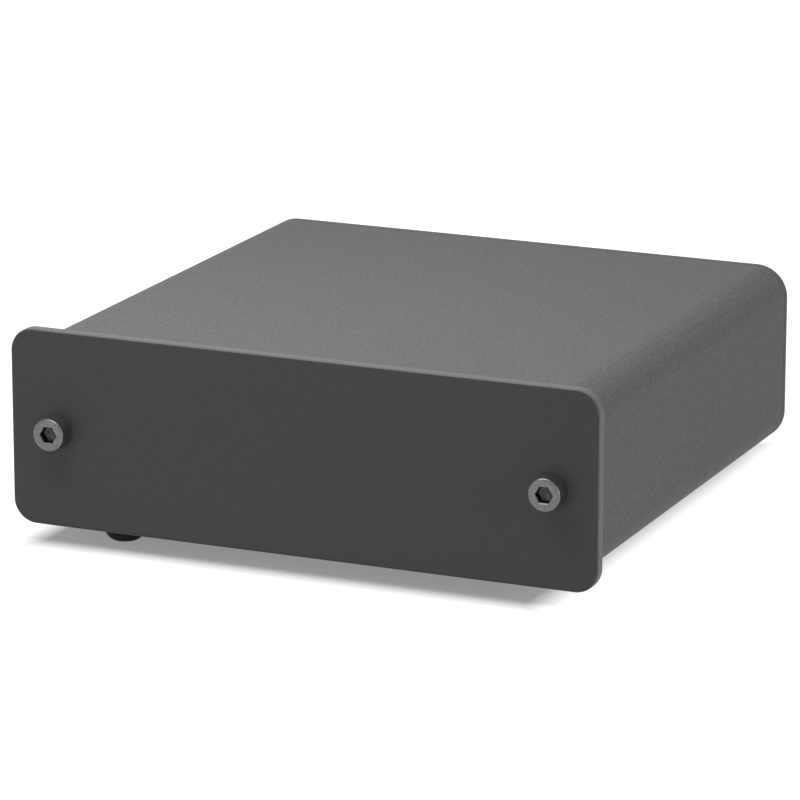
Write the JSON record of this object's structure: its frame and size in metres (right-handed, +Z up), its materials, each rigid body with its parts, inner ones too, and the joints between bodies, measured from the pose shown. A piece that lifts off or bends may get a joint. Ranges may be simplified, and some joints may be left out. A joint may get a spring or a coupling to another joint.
{
  "type": "phono preamplifier",
  "caption": "Small flat metal box preamplifier for a record player: plain front plate on two screws, extruded sleeve, phono jacks, earth terminal and power inlet behind.",
  "frame": {"origin": "on the floor, under the centre of the whole box", "axes": "+Z up, +X to the right seen from the front, +Y to the back, where the jacks are"},
  "size_m": [0.103, 0.1064, 0.036],
  "materials": {
    "sleeve_coat": "satin",
    "panel_coat": "satin",
    "rear_coat": "satin",
    "black_steel": "satin",
    "foot_rubber": "matte",
    "black_moulding": "satin",
    "nickel": "polished",
    "tin": "satin",
    "phenolic": "satin",
    "white_insulator": "satin",
    "red_insulator": "satin",
    "board_laminate": "satin",
    "chip_epoxy": "matte",
    "can_sleeve": "gloss",
    "film_case": "satin",
    "resistor_coat": "gloss"
  },
  "bodies": {
    "case": {"sleeve": "sleeve_coat", "front_panel": "panel_coat", "rear_panel": "rear_coat", "front_screws": "black_steel", "rear_screws": "black_steel", "feet": "foot_rubber", "input_jack_block": "black_moulding", "output_jack_block": "black_moulding", "jack_screws": "black_steel", "ground_stud": "nickel", "ground_inner_nut": "nickel", "ground_tag": "tin", "inlet_body": "black_moulding", "inlet_pin_contact": "nickel", "inlet_leaf": "nickel", "switch_case": "tin", "switch_base_plate": "phenolic", "switch_terminals": "tin", "circuit_board": "board_laminate", "op_amps": "chip_epoxy", "filter_capacitors": "can_sleeve", "coupling_capacitors": "can_sleeve", "film_capacitors": "film_case", "resistors": "resistor_coat", "rectifier_diodes": "chip_epoxy", "voltage_regulators": "chip_epoxy", "input_left_shell": "nickel", "input_left_insulator": "white_insulator", "input_left_contact": "nickel", "input_right_shell": "nickel", "input_right_insulator": "red_insulator", "input_right_contact": "nickel", "output_left_shell": "nickel", "output_left_insulator": "white_insulator", "output_left_contact": "nickel", "output_right_shell": "nickel", "output_right_insulator": "red_insulator", "output_right_contact": "nickel"},
    "ground_washer": {"ground_washer": "nickel"},
    "ground_nut": {"ground_nut": "nickel"},
    "switch_slider": {"switch_slider": "black_moulding"}
  },
  "joints": [
    {"name": "ground_slide", "type": "slide", "parent": "case", "child": "ground_washer", "axis": [0, 1, 0], "range_m": [0, 0.00245]},
    {"name": "ground_turn", "type": "hinge", "parent": "ground_washer", "child": "ground_nut", "pos_m": [0.0066, 0.04555, 0.0184], "axis": [0, 1, 0], "range_deg": [0, 1260]},
    {"name": "cartridge_switch", "type": "slide", "parent": "case", "child": "switch_slider", "axis": [0, 0, 1], "range_m": [0, 0.002]}
  ],
  "couplings": [
    {"joint": "ground_turn", "follows": "ground_slide", "rad_per_m": 8976}
  ]
}
